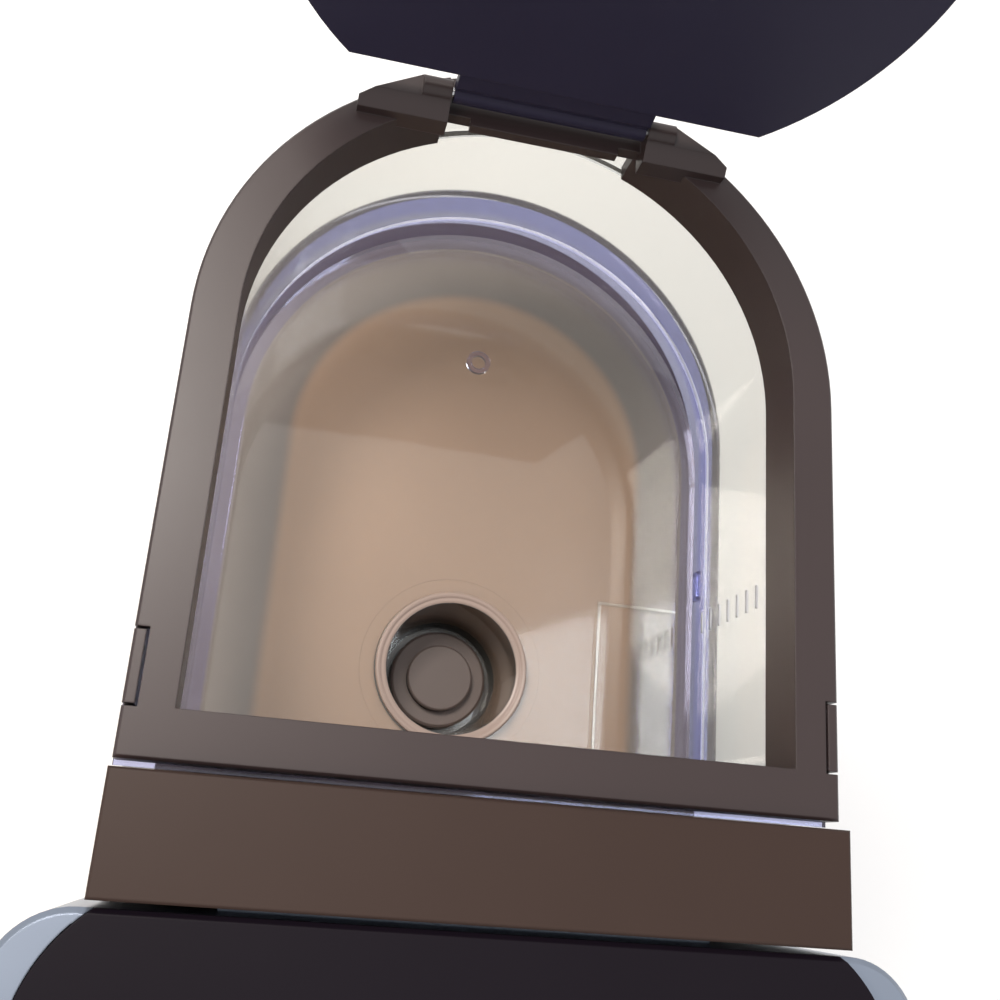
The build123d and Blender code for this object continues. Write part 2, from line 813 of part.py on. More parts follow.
def button_bezels():
    """Rings that line the button holes in the deck."""
    rings = [
        ring(bezel_r + bezel_width, bezel_r, head_top - bezel_height, head_top + bezel_rise, x, button_y)
        for x in button_places()
    ]
    return group(rings)


def button(x):
    """A round key with a dished top, a hidden collar and a stem over its switch."""
    top = head_top + button_rise
    cap = chamfer(rod(button_r, collar_level, top, x, button_y).faces().sort_by(Axis.Z)[-1].edges(), 0.5)
    cap = cap - rod(button_r - button_skirt, top - 0.3, top + 1, x, button_y)
    skirt = rod(button_r + button_skirt, collar_level - button_skirt, collar_level, x, button_y)
    return cap + skirt + rod(button_stem_r, stem_foot, collar_level, x, button_y)


def keypad():
    """Silicone mat with a dome under each key."""
    half = button_pitch * button_count / 2
    body = block(-half, half, button_y - 9, button_y + 9, mat_low, mat_low + mat_thick)
    for x in button_places():
        body = body + rod(button_stem_r + 0.7, mat_low + mat_thick / 2, dome_top, x, button_y)
    return body


def key_board():
    """Circuit board under the keypad, on the bracket."""
    half = button_pitch * button_count / 2 + button_r
    reach = 2 * button_r
    return block(-half, half, button_y - reach, button_y + reach, mat_low - board_thick, mat_low)


def board_bracket():
    """Bridge that carries the key board across the head."""
    top = mat_low - board_thick
    half = head_half - wall
    reach = 2 * button_r
    body = block(-half, half, button_y - reach, button_y + reach, top - wall, top)
    gap = half - button_pitch
    return body - block(-gap, gap, button_y - button_r, button_y + button_r, top - 2 * wall, top + 1)


def chamber_deck():
    """Inner shelf of the head that the pod holder hangs in."""
    body = head_plan(chamber_top - deck_thick, chamber_top, wall + 0.1)
    body = body & block(-head_half, head_half, head_front, jaw_y - jaw_hinge_r, 0, head_top)
    return body - rod(pod_top_r + pod_wall + 0.3, chamber_top - 10, chamber_top + 1, 0, pod_y)


def pod_holder():
    """Tapered cup for the pod, with a flange on the shelf and a hole for the exit needle."""
    low = holder_top - pod_depth - pod_wall
    outer = Pos(0, pod_y, (low + holder_top) / 2) * Cone(
        pod_bottom_r + pod_wall, pod_top_r + pod_wall, holder_top - low
    )
    body = outer + rod(pod_flange_r, chamber_top, holder_top, 0, pod_y)
    inner = Pos(0, pod_y, (low + pod_wall + holder_top) / 2) * Cone(pod_bottom_r, pod_top_r, pod_depth)
    body = body - inner
    body = body - rod(2 * needle_r, low - 1, low + pod_wall + 1, 0, pod_y + needle_off)
    return body - rod(2 * needle_r, low - 1, low + pod_wall + 1, 0, pod_y - needle_off)


def exit_needle():
    """Steel needle that pierces the pod's foot."""
    low = holder_top - pod_depth - pod_wall
    body = rod(2 * needle_r, low, low + pod_wall + needle_r, 0, pod_y + needle_off)
    return body + Pos(0, pod_y + needle_off, low + pod_wall + 5.0) * Cone(needle_r, 0.4, 7.0)


def spout():
    """Funnel under the pod holder that leads the coffee out of the head."""
    top = holder_top - pod_depth - pod_wall
    low = head_bottom - spout_length
    cup = rod(pod_bottom_r - 3, top - 3.0, top, 0, pod_y)
    tube = rod(spout_r, low, top - 2.0, 0, pod_y)
    inner = rod(pod_bottom_r - 5, top - 1.5, top + 1, 0, pod_y)
    mouth = rod(spout_r - 2.0, low - 1, top + 1, 0, pod_y)
    body = cup + tube
    body = chamfer(body.faces().sort_by(Axis.Z)[0].edges(), 0.8)
    return body - inner - mouth


def brew_lid():
    """Black lid of the head: a shell with a round back, turning on the jaw pin."""
    whole = deck_outline(jaw_bottom, head_top) & jaw_side(0.0, 0.0)
    front_edge = whole.faces().sort_by(Axis.Z)[-1].edges()
    whole = chamfer(front_edge.filter_by(Axis.X, reverse=True), 1.5)
    hollow = deck_outline(jaw_bottom - 5, head_top - wall, wall) & jaw_side(-wall, 10.0)
    body = whole - hollow
    body = body - rod(jaw_disc_r + running_gap, jaw_bottom - 1, head_top - wall, 0, pod_y)
    body = body - rod(pod_flange_r + 0.8, jaw_bottom - 1, holder_top + 0.8, 0, pod_y)
    for side in (-1, 1):
        body = body - block(
            side * (post_inner - 2 * flat_gap), side * post_outer, jaw_y - jaw_hinge_r,
            jaw_y + 2 * jaw_hinge_r, jaw_bottom - 1, jaw_z + post_half + slide_gap,
        )
    for side in (-1, 1):
        lug = block(
            side * post_outer, side * (post_outer + lug_width), jaw_y - 1.5 * jaw_hinge_r,
            jaw_y + post_half, jaw_z - post_half, head_top - 1,
        )
        body = body + (lug & whole)
    reach = post_outer + lug_width + 1
    return body - cross_rod(jaw_pin_r + running_gap, -reach, reach, jaw_y, jaw_z)


def lid_band():
    """Silver band round the brew lid, thicker at the front as its grip."""
    outer = head_plan(jaw_bottom, head_top - 1.0)
    outer = chamfer(outer.faces().sort_by(Axis.Z)[-1].edges(), 1.0)
    band = outer - deck_outline(jaw_bottom - 1, head_top + 1, -0.05)
    band = band & jaw_side(0.0, 0.0)
    grip = Pos(0, head_front + 1.0, jaw_bottom + 5.0) * Box(60, 14, 6)
    grip = fillet(grip.edges().filter_by(Axis.X), 2.0)
    grip = fillet(grip.edges().filter_by(Axis.Z), 2.0)
    return band + (grip - deck_outline(jaw_bottom - 1, head_top + 1, -0.05))


def jaw_pin():
    """Steel pin of the brew lid, held in two posts of the head."""
    reach = post_outer + lug_width
    return cross_rod(jaw_pin_r, -reach, reach, jaw_y, jaw_z)


def jaw_posts():
    """Two posts on the shelf that hold the brew lid's pin."""
    foot = chamber_top - post_foot
    y0, y1 = jaw_y - post_half, jaw_y + post_half
    body = block(-head_half + wall, head_half - wall, y0, y1, foot - post_half, foot)
    for side in (-1, 1):
        x0, x1 = side * post_inner, side * (post_outer - flat_gap)
        body = body + block(x0, x1, y0, y1, foot, jaw_z) + cross_rod(post_half, x0, x1, jaw_y, jaw_z)
    return body - cross_rod(jaw_pin_r, -post_outer, post_outer, jaw_y, jaw_z)


def jaw_disc():
    """Round block under the brew lid that presses on the pod."""
    low = holder_top + 1.6
    body = rod(jaw_disc_r, low, head_top - wall, 0, pod_y)
    return body - rod(needle_r, low - 1, low + 12, 0, pod_y + 6)


def jaw_gasket():
    """Rubber ring that seals the pod's rim."""
    low = holder_top + 1.6 - 1.2
    return ring(pod_top_r + 1.5, pod_top_r - 3.0, low, low + 1.2, 0, pod_y)


def entry_needle():
    """Hollow steel needle that pierces the pod's foil."""
    low = holder_top + 1.6
    body = rod(needle_r, low - 8.0, low + 12, 0, pod_y + 6)
    body = body + Pos(0, pod_y + 6, low - 10.0) * Cone(0.4, needle_r, 4.0)
    return body - rod(needle_r - 0.7, low - 6, low + 13, 0, pod_y + 6)


# Drip tray and its grate

def tray_plan(z0, z1, inset=0.0):
    """The tray's plan: as wide as its bay at the back and as the base at the front."""
    rear_y = tray_neck - inset - 1
    rear = block(-tray_half + inset, tray_half - inset, rear_y, tray_back - inset, z0, z1)
    nose = slab(
        base_half - inset, tray_back, tray_front + inset, 0, base_front_r - inset, z0, z1
    )
    return rear + (nose & block(-200, 200, tray_front - 10, tray_neck - inset, z0, z1))


def grate_plan(z0, z1, inset):
    """The grate's plan, as wide as the tray's back all along."""
    return slab(
        tray_half - inset, tray_back - inset, tray_front + inset, 0, base_front_r - inset, z0, z1
    )


def drip_tray():
    """Open tray with a full-width nose that slides out of the base."""
    body = tray_plan(tray_floor, tray_top)
    body = body - grate_plan(tray_floor + tray_wall, tray_top + 1, 2 * tray_wall)
    body = body - grate_plan(grate_low, tray_top + 1, tray_wall)
    return chamfer(body.faces().sort_by(Axis.Z)[0].edges(), 0.8)


def drip_grate():
    """Slotted plate on the tray, set into its rim."""
    body = grate_plan(grate_low, grate_low + grate_thick, tray_wall + grate_gap)
    count = int((tray_length - base_front_r) / slot_pitch)
    first = (tray_front + tray_back) / 2 - (count - 1) / 2 * slot_pitch
    reach = tray_half - base_front_r / 2
    for row in range(count):
        y = first + slot_pitch * row
        for side in (-1, 1):
            body = body - block(
                side * slot_width, side * reach, y - slot_width / 2, y + slot_width / 2,
                grate_low - 1, tray_top,
            )
    return body


# Inner works

def pump():
    """Water pump lying in the rear housing, with its two ports."""
    half = pump_length / 2
    body = cross_rod(pump_r, -half, half, pump_y, pump_z)
    body = body + cross_rod(pump_r - 4, half, half + pump_nose, pump_y, pump_z)
    body = body + cross_rod(port_r, half + pump_nose, half + pump_nose + port_length, pump_y, pump_z)
    return body + cross_rod(port_r, -half - port_length, -half, pump_y, pump_z)


def pump_mounts():
    """Two rubber cradles under the pump."""
    half = 0.7 * pump_r
    pair = [
        block(side * pump_length / 4, side * pump_length / 3, pump_y - half, pump_y + half, base_top, pump_z - 4)
        for side in (-1, 1)
    ]
    bed = cross_rod(pump_r, -pump_length / 2, pump_length / 2, pump_y, pump_z)
    return group([mount - bed for mount in pair])


def heater():
    """Upright flow heater with a port at its foot and one on top."""
    top = heater_low + heater_height
    body = rod(heater_r, heater_low, top, 0, heater_y)
    body = chamfer(body.edges().filter_by(GeomType.CIRCLE), 2.0)
    body = body + rod(port_r, top, top + port_length, 0, heater_y)
    port_z = heater_low + bend_r
    body = body + cross_rod(port_r, heater_r - 2, heater_r + 1.5 * port_length, heater_y, port_z)
    return body + rod(heater_foot, heater_low - heater_foot, heater_low, 0, heater_y)


def heater_stand():
    """Bracket that stands the heater clear of the base."""
    half = heater_r + wall
    low = heater_low - heater_foot - wall
    body = block(-half, half, heater_y - half, heater_y + half, low, low + wall)
    for side in (-1, 1):
        body = body + block(
            side * heater_r, side * half, heater_y - half, heater_y + half, base_top, low + wall
        )
    return body


def control_board():
    """Main board upright in the spine."""
    low = base_top + board_lift
    return block(-board_half, board_half, board_y, board_y + board_thick, low, low + board_height)


def board_clips():
    """Two rails that hold the main board to the spine's back wall."""
    low = base_top + board_lift + wall
    rails = [
        block(
            side * board_half, side * (board_half - 3 * wall), board_y + board_thick,
            spine_back - wall, low, low + board_height - 2 * wall,
        )
        for side in (-1, 1)
    ]
    return group(rails)


def hose(points, radii):
    """A silicone hose along straight runs and tangent arcs."""
    path = FilletPolyline(*points, radius=radii)
    plane = Plane(path @ 0, z_dir=path % 0)
    widen = 1 / cos(pi / hose_sides)
    outer = sweep(plane * RegularPolygon(hose_r, hose_sides), path)
    inner = sweep(plane * RegularPolygon((port_r + running_gap) * widen, hose_sides), path)
    return outer - inner


def suction_hose():
    """Hose from the dock down to the pump's inlet."""
    x = -pump_length / 2 - port_length / 2
    side = x - 1.5 * bend_r
    top = well_floor - 1.5
    return hose(
        [(0, cup_y, top), (0, cup_y, top - 2.6 * bend_r),
         (side + 2, pump_y - 0.6 * bend_r, pump_z + 4 * bend_r), (side, pump_y, pump_z), (x, pump_y, pump_z)],
        [1.4 * bend_r, 1.4 * bend_r, 0.8 * bend_r],
    )


def pressure_hose():
    """Hose from the pump's outlet to the heater's foot."""
    start = pump_length / 2 + pump_nose + 1.5
    side = start + 1.25 * bend_r
    z = heater_low + bend_r
    return hose(
        [(start, pump_y, pump_z), (side, pump_y, pump_z), (side, pump_y + 3 * bend_r, pump_z + bend_r / 2),
         (side - 0.4 * bend_r, heater_y, z), (heater_r + 3, heater_y, z)],
        [0.8 * bend_r, bend_r, bend_r],
    )


def brew_hose():
    """Hose from the heater's top under the well and through the spine into the head."""
    x = 1.4 * bend_r
    top = heater_low + heater_height
    z = cradle_bottom - window_drop + window_half
    y = (spine_front + spine_back) / 2
    out = chamber_top - 2.2 * bend_r
    behind = heater_y - 2.4 * bend_r
    return hose(
        [(0, heater_y, top + 2), (0, heater_y, top + 2.6 * bend_r), (x, behind, top + 2.6 * bend_r),
         (x, behind - 2.2 * bend_r, z), (x, y, z), (x, y, out), (x, jaw_y + post_half, out)],
        [bend_r, bend_r, 1.2 * bend_r, 0.7 * bend_r, 0.7 * bend_r],
    )


def nodes():
    """Every piece by its name."""
    pieces = {
        "tank_shell": tank_shell, "tank_collar": tank_collar, "hinge_pin": hinge_pin,
        "tank_lid": tank_lid, "valve_body": valve_body, "valve_seal": valve_seal,
        "valve_poppet": valve_poppet, "valve_spring": valve_spring, "tank_cradle": tank_cradle,
        "dock_nipple": dock_nipple, "dock_seal": dock_seal, "rear_housing": rear_housing,
        "spine_housing": spine_housing, "strip_cover": strip_cover, "base_housing": base_housing,
        "cord_gland": cord_gland, "base_plate": base_plate, "feet": feet, "base_screws": base_screws,
        "head_housing": head_housing, "head_deck": head_deck, "button_bezels": button_bezels,
        "keypad": keypad, "key_board": key_board, "board_bracket": board_bracket,
        "chamber_deck": chamber_deck, "pod_holder": pod_holder, "exit_needle": exit_needle,
        "spout": spout, "brew_lid": brew_lid, "lid_band": lid_band, "jaw_pin": jaw_pin,
        "jaw_posts": jaw_posts, "jaw_disc": jaw_disc, "jaw_gasket": jaw_gasket,
        "entry_needle": entry_needle, "drip_tray": drip_tray, "drip_grate": drip_grate,
        "pump": pump, "pump_mounts": pump_mounts, "heater": heater, "heater_stand": heater_stand,
        "control_board": control_board, "board_clips": board_clips, "suction_hose": suction_hose,
        "pressure_hose": pressure_hose, "brew_hose": brew_hose,
    }
    made = {name: make() for name, make in pieces.items()}
    names = ("power", "small", "medium", "large")
    for name, x in zip(names, button_places()):
        made["button_" + name] = button(x)
    return made


os.makedirs("parts", exist_ok=True)
for name, shape in nodes().items():
    export_step(Pos(0, centre_shift, 0) * shape, "parts/" + name + ".step")
print("shift along Y", round(centre_shift, 3), "lid far Y", round(lid_far_y, 3))
print("hinge", hinge_y + centre_shift, hinge_z, "jaw", jaw_y + centre_shift, jaw_z)
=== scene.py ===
import math

import bmesh
import bpy
from mathutils import Matrix, Vector


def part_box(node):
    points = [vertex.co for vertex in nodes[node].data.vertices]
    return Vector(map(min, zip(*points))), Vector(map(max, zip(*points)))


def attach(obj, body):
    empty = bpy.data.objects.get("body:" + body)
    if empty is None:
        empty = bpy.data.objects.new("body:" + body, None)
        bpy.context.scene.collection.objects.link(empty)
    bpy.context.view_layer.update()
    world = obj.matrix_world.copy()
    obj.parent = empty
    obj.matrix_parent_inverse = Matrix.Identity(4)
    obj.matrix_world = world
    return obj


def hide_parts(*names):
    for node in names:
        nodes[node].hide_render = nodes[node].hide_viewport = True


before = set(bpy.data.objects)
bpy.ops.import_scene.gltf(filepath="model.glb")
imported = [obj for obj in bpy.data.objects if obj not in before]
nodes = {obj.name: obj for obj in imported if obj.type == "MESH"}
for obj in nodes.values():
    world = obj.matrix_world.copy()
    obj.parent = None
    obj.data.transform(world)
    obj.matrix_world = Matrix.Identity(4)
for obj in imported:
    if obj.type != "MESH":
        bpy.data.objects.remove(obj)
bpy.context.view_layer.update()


# Tank collar.
# A dark satin frame, injection moulded with a fine spark-eroded grain, that clips over the
# clear tank's rim and carries the two ears of the lid's hinge.

def connect(tree, source, socket, target, name):
    """Links one node's output to another node's input, each given by its name."""
    tree.links.new(source.outputs[socket], target.inputs[name])


def feed(tree, value, socket):
    """Sets a socket to a plain value, or links another node's output to it."""
    if isinstance(value, bpy.types.NodeSocket):
        tree.links.new(value, socket)
    else:
        socket.default_value = value


def add_node(tree, kind, **values):
    """A new node with some of its inputs set."""
    node = tree.nodes.new(kind)
    for name, value in values.items():
        node.inputs[name.replace("_", " ")].default_value = value
    return node


def node_group(name, inputs, outputs):
    """An empty shader group with its sockets, and its two end nodes."""
    tree = bpy.data.node_groups.new(name, "ShaderNodeTree")
    for label, kind, value in inputs:
        socket = tree.interface.new_socket(label, in_out="INPUT", socket_type=kind)
        if value is not None:
            socket.default_value = value
    for label, kind in outputs:
        tree.interface.new_socket(label, in_out="OUTPUT", socket_type=kind)
    return tree, tree.nodes.new("NodeGroupInput"), tree.nodes.new("NodeGroupOutput")


def make_moulded_grain():
    """Fine mould texture: a height for the bump, and a slow unevenness for colour and gloss."""
    tree, start, end = node_group(
        "moulded_grain",
        [("Vector", "NodeSocketVector", None), ("Grain", "NodeSocketFloat", 2200.0),
         ("Drift", "NodeSocketFloat", 18.0)],
        [("Height", "NodeSocketFloat"), ("Unevenness", "NodeSocketFloat")],
    )
    fine = add_node(tree, "ShaderNodeTexNoise", Detail=3.0, Roughness=0.6)
    slow = add_node(tree, "ShaderNodeTexNoise", Detail=4.0, Roughness=0.55)
    connect(tree, start, "Vector", fine, "Vector")
    connect(tree, start, "Vector", slow, "Vector")
    connect(tree, start, "Grain", fine, "Scale")
    connect(tree, start, "Drift", slow, "Scale")
    connect(tree, fine, "Fac", end, "Height")
    connect(tree, slow, "Fac", end, "Unevenness")
    return tree


moulded_grain = make_moulded_grain()


def linear(red, green, blue):
    """A colour as it looks on a screen, 0 to 255, as the linear values that a shader takes."""
    shown = [value / 255 for value in (red, green, blue)]
    return [v / 12.92 if v <= 0.04045 else ((v + 0.055) / 1.055) ** 2.4 for v in shown] + [1.0]


def shade(colour, factor):
    """A lighter or darker version of a linear colour."""
    return [min(1.0, value * factor) for value in colour[:3]] + [1.0]


def new_material(name):
    """An empty node material with its Principled shader."""
    material = bpy.data.materials.new(name)
    material.use_nodes = True
    tree = material.node_tree
    tree.nodes.clear()
    output = tree.nodes.new("ShaderNodeOutputMaterial")
    shader = tree.nodes.new("ShaderNodeBsdfPrincipled")
    tree.links.new(shader.outputs["BSDF"], output.inputs["Surface"])
    return material, tree, shader


def blended_colour(tree, first, second, share):
    """A colour between two others, by a share that is a value or another node's output."""
    tone = tree.nodes.new("ShaderNodeMix")
    tone.data_type = "RGBA"
    feed(tree, first, tone.inputs["A"])
    feed(tree, second, tone.inputs["B"])
    feed(tree, share, tone.inputs["Factor"])
    return tone.outputs["Result"]


def moulded_plastic(
    name, colour, gloss, grain=2200.0, depth=0.00002, spread=0.12, sheen=0.4, metallic=0.0
):
    """Dyed plastic from a mould: slightly uneven colour and gloss, a fine grain, soft corners."""
    round_edge = 0.0004
    material, tree, shader = new_material(name)
    shader.inputs["Specular IOR Level"].default_value = sheen
    shader.inputs["Metallic"].default_value = metallic
    place = tree.nodes.new("ShaderNodeTexCoord")
    skin = tree.nodes.new("ShaderNodeGroup")
    skin.node_tree = moulded_grain
    skin.inputs["Grain"].default_value = grain
    connect(tree, place, "Object", skin, "Vector")
    uneven = skin.outputs["Unevenness"]
    tone = blended_colour(tree, shade(colour, 1 - spread), shade(colour, 1 + spread), uneven)
    feed(tree, tone, shader.inputs["Base Color"])
    rough = add_node(tree, "ShaderNodeMapRange", To_Min=gloss - 0.05, To_Max=gloss + 0.07)
    feed(tree, uneven, rough.inputs["Value"])
    connect(tree, rough, "Result", shader, "Roughness")
    corner = add_node(tree, "ShaderNodeBevel", Radius=round_edge)
    corner.samples = 4
    bump = add_node(tree, "ShaderNodeBump", Strength=0.35, Distance=depth)
    connect(tree, skin, "Height", bump, "Height")
    connect(tree, corner, "Normal", bump, "Normal")
    connect(tree, bump, "Normal", shader, "Normal")
    return material


def finish(material, *names):
    """Gives CAD nodes their material."""
    for name in names:
        slots = nodes[name].data.materials
        slots.clear()
        slots.append(material)


collar_brown = linear(47, 37, 37)
collar_plastic = moulded_plastic("collar_plastic", collar_brown, 0.38, sheen=0.42)
finish(collar_plastic, "tank_collar")


# Clear tank.
# One clear SAN moulding: thin drafted walls, a floor with its gate mark and valve cup, and a
# stepped rim whose flange shows as a pale line under the collar.

def maths(tree, operation, *values):
    """The output of a Math node, each of whose inputs is a number or another node's output."""
    node = tree.nodes.new("ShaderNodeMath")
    node.operation = operation
    for place, value in enumerate(values):
        feed(tree, value, node.inputs[place])
    return node.outputs["Value"]


def clear_plastic(name, tint, deep_tint, bands, roughness, lets_light):
    """Clear moulding that lets lamps through, denser in colour in two bands of height.

    Each band is given by its middle and half of its height.
    """
    material, tree, shader = new_material(name)
    shader.inputs["Roughness"].default_value = roughness
    shader.inputs["IOR"].default_value = 1.45
    shader.inputs["Specular IOR Level"].default_value = 0.08
    shader.inputs["Transmission Weight"].default_value = 0.95
    place = tree.nodes.new("ShaderNodeTexCoord")
    height = tree.nodes.new("ShaderNodeSeparateXYZ")
    connect(tree, place, "Object", height, "Vector")
    masks = [maths(tree, "COMPARE", height.outputs["Z"], middle, half) for middle, half in bands]
    tone = blended_colour(tree, tint, deep_tint, maths(tree, "MAXIMUM", *masks))
    feed(tree, tone, shader.inputs["Base Color"])
    flow = add_node(tree, "ShaderNodeTexNoise", Scale=28.0, Detail=1.0)
    connect(tree, place, "Object", flow, "Vector")
    bump = add_node(tree, "ShaderNodeBump", Strength=0.25, Distance=0.0004)
    connect(tree, flow, "Fac", bump, "Height")
    connect(tree, bump, "Normal", shader, "Normal")
    through = add_node(tree, "ShaderNodeBsdfTransparent", Color=lets_light)
    path = tree.nodes.new("ShaderNodeLightPath")
    mix = tree.nodes.new("ShaderNodeMixShader")
    lamp_light = maths(tree, "MAXIMUM", path.outputs["Is Shadow Ray"], path.outputs["Is Diffuse Ray"])
    feed(tree, lamp_light, mix.inputs["Fac"])
    feed(tree, shader.outputs["BSDF"], mix.inputs[1])
    feed(tree, through.outputs["BSDF"], mix.inputs[2])
    feed(tree, mix.outputs["Shader"], tree.nodes["Material Output"].inputs["Surface"])
    return material


collar_low, collar_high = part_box("tank_collar")
collar_height = 0.013
collar_edge = Vector((0.0, collar_low.y, collar_low.z + collar_height))
wall_inner = 0.0575
wall_outer = 0.0595
floor_level = collar_edge.z - 0.060
skirt_level = collar_edge.z - 0.0495
band_lift = 0.0004
skirt_band = ((floor_level + skirt_level) / 2 + band_lift, (skirt_level - floor_level) / 2)
flange_band = (collar_low.z + 0.0055, 0.0012)
tank_clear = clear_plastic(
    "tank_clear", (0.76, 0.765, 0.73, 1.0), (0.50, 0.52, 0.76, 1.0),
    (skirt_band, flange_band), 0.04, (0.94, 0.93, 0.92, 1.0),
)
finish(tank_clear, "tank_shell")


def add_piece(name, mesh, body):
    """Adds a finished mesh to the scene as a piece that rides on one body."""
    piece = bpy.data.objects.new(name, mesh)
    bpy.context.scene.collection.objects.link(piece)
    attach(piece, body)
    return piece


def formed_piece(name, form, body, *materials):
    """Turns a worked-up form into a piece with its materials."""
    mesh = bpy.data.meshes.new(name)
    form.to_mesh(mesh)
    form.free()
    for material in materials:
        mesh.materials.append(material)
    return add_piece(name, mesh, body)


def moulded_bars(name, body, material, boxes):
    """A raised shape made of straight bars, each given by two corners, on one body."""
    form = bmesh.new()
    for low, high in boxes:
        bar = bmesh.ops.create_cube(form, size=1.0)["verts"]
        for corner in bar:
            corner.co = Vector([
                low[axis] + (corner.co[axis] + 0.5) * (high[axis] - low[axis]) for axis in range(3)
            ])
    formed_piece(name, form, body, material)


pad_side = 0.0345
pad_front = collar_edge.y + 0.0125
pad_back = collar_edge.y + 0.0497
pad_line = 0.0007
pad_low = floor_level - 0.0003
pad_high = floor_level + 0.0003
pad_end = wall_inner - 0.0031
moulded_bars("floor_pad", "tank", tank_clear, [
    ((pad_side, pad_front, pad_low), (pad_side + pad_line, pad_back, pad_high)),
    ((pad_side, pad_back, pad_low), (pad_end, pad_back + pad_line, pad_high)),
])
catch_front = collar_edge.y + 0.0530
catch_back = collar_edge.y + 0.0600
catch_low = collar_edge.z - 0.0592
catch_high = collar_edge.z - 0.0552
catch_bar = 0.0007
catch_sunk = wall_outer - 0.0002
catch_proud = wall_outer + 0.0009
moulded_bars("skirt_catch", "tank", tank_clear, [
    ((catch_sunk, catch_front, catch_low), (catch_proud, catch_back, catch_low + catch_bar)),
    ((catch_sunk, catch_front, catch_high - catch_bar), (catch_proud, catch_back, catch_high)),
    ((catch_sunk, catch_front, catch_low), (catch_proud, catch_front + catch_bar, catch_high)),
    ((catch_sunk, catch_back - catch_bar, catch_low), (catch_proud, catch_back, catch_high)),
])


def tick_column(material):
    """Geometry Nodes tree: a column of level marks, each a thin bar on the tank's inner wall."""
    tree = bpy.data.node_groups.new("tick_column", "GeometryNodeTree")
    ids = {}
    for label, kind, value in (
        ("Count", "NodeSocketInt", 8), ("First", "NodeSocketVector", (0, 0, 0)),
        ("Pitch", "NodeSocketVector", (0, 0, 0.005)),
        ("Bar", "NodeSocketVector", (0.0004, 0.006, 0.0005)),
    ):
        socket = tree.interface.new_socket(label, in_out="INPUT", socket_type=kind)
        socket.default_value = value
        ids[label] = socket.identifier
    tree.interface.new_socket("Geometry", in_out="OUTPUT", socket_type="NodeSocketGeometry")
    start = tree.nodes.new("NodeGroupInput")
    end = tree.nodes.new("NodeGroupOutput")
    column = tree.nodes.new("GeometryNodeMeshLine")
    column.mode = "OFFSET"
    mark = tree.nodes.new("GeometryNodeMeshCube")
    spread = tree.nodes.new("GeometryNodeInstanceOnPoints")
    real = tree.nodes.new("GeometryNodeRealizeInstances")
    painted = tree.nodes.new("GeometryNodeSetMaterial")
    painted.inputs["Material"].default_value = material
    connect(tree, start, "Count", column, "Count")
    connect(tree, start, "First", column, "Start Location")
    connect(tree, start, "Pitch", column, "Offset")
    connect(tree, start, "Bar", mark, "Size")
    connect(tree, column, "Mesh", spread, "Points")
    connect(tree, mark, "Mesh", spread, "Instance")
    connect(tree, spread, "Instances", real, "Geometry")
    connect(tree, real, "Geometry", painted, "Geometry")
    connect(tree, painted, "Geometry", end, "Geometry")
    return tree, ids


def grown(name, tree, ids, values, body):
    """The plain mesh that a Geometry Nodes tree makes with these inputs, riding on one body."""
    seed_mesh = bpy.data.meshes.new(name + "_seed")
    holder = bpy.data.objects.new(name + "_seed", seed_mesh)
    bpy.context.scene.collection.objects.link(holder)
    modifier = holder.modifiers.new("grow", "NODES")
    modifier.node_group = tree
    for label, value in values.items():
        modifier[ids[label]] = value
    live = holder.evaluated_get(bpy.context.evaluated_depsgraph_get())
    mesh = bpy.data.meshes.new_from_object(live)
    holder.modifiers.remove(modifier)
    bpy.data.objects.remove(holder)
    add_piece(name, mesh, body)


tick_print = moulded_plastic("tick_print", linear(176, 178, 184), 0.5)
tick_tree, tick_ids = tick_column(tick_print)
tick_sunk = 0.0001
tick_first = (wall_inner - tick_sunk, collar_edge.y + 0.046, collar_edge.z - 0.050)
grown("level_ticks", tick_tree, tick_ids, {
    "Count": 7, "First": tick_first, "Pitch": (0, 0, 0.005), "Bar": (0.0004, 0.005, 0.0006),
}, "tank")


# Tank valve.
# A grey moulded seat in the cup, a rubber ring and a poppet whose stem the dock's pin lifts,
# closed by a small steel spring.

def bright_steel(name, colour, roughness):
    """Ground steel, its shine slightly uneven in lines that run from side to side."""
    material, tree, shader = new_material(name)
    shader.inputs["Base Color"].default_value = colour
    shader.inputs["Metallic"].default_value = 1.0
    place = tree.nodes.new("ShaderNodeTexCoord")
    along = add_node(tree, "ShaderNodeMapping", Scale=(0.04, 1.0, 1.0))
    streak = add_node(tree, "ShaderNodeTexNoise", Scale=900.0, Detail=2.0)
    rough = add_node(tree, "ShaderNodeMapRange", To_Min=roughness - 0.02, To_Max=roughness + 0.03)
    connect(tree, place, "Object", along, "Vector")
    connect(tree, along, "Vector", streak, "Vector")
    connect(tree, streak, "Fac", rough, "Value")
    connect(tree, rough, "Result", shader, "Roughness")
    return material


valve_grey = moulded_plastic("valve_grey", linear(84, 74, 70), 0.45)
black_rubber = moulded_plastic("black_rubber", linear(38, 34, 36), 0.62, grain=3500.0)
steel = bright_steel("steel", (0.62, 0.62, 0.64, 1.0), 0.25)
finish(valve_grey, "valve_body", "valve_poppet")
finish(black_rubber, "valve_seal", "dock_seal")
finish(steel, "valve_spring", "hinge_pin")


# Tank lid.
# A flat moulded panel in the collar's outline, cut straight at its hinge, with an arm that ends
# in the barrel round the steel pin.

lid_plastic = moulded_plastic("lid_plastic", linear(38, 35, 54), 0.5, spread=0.2, sheen=0.22)
finish(lid_plastic, "tank_lid")
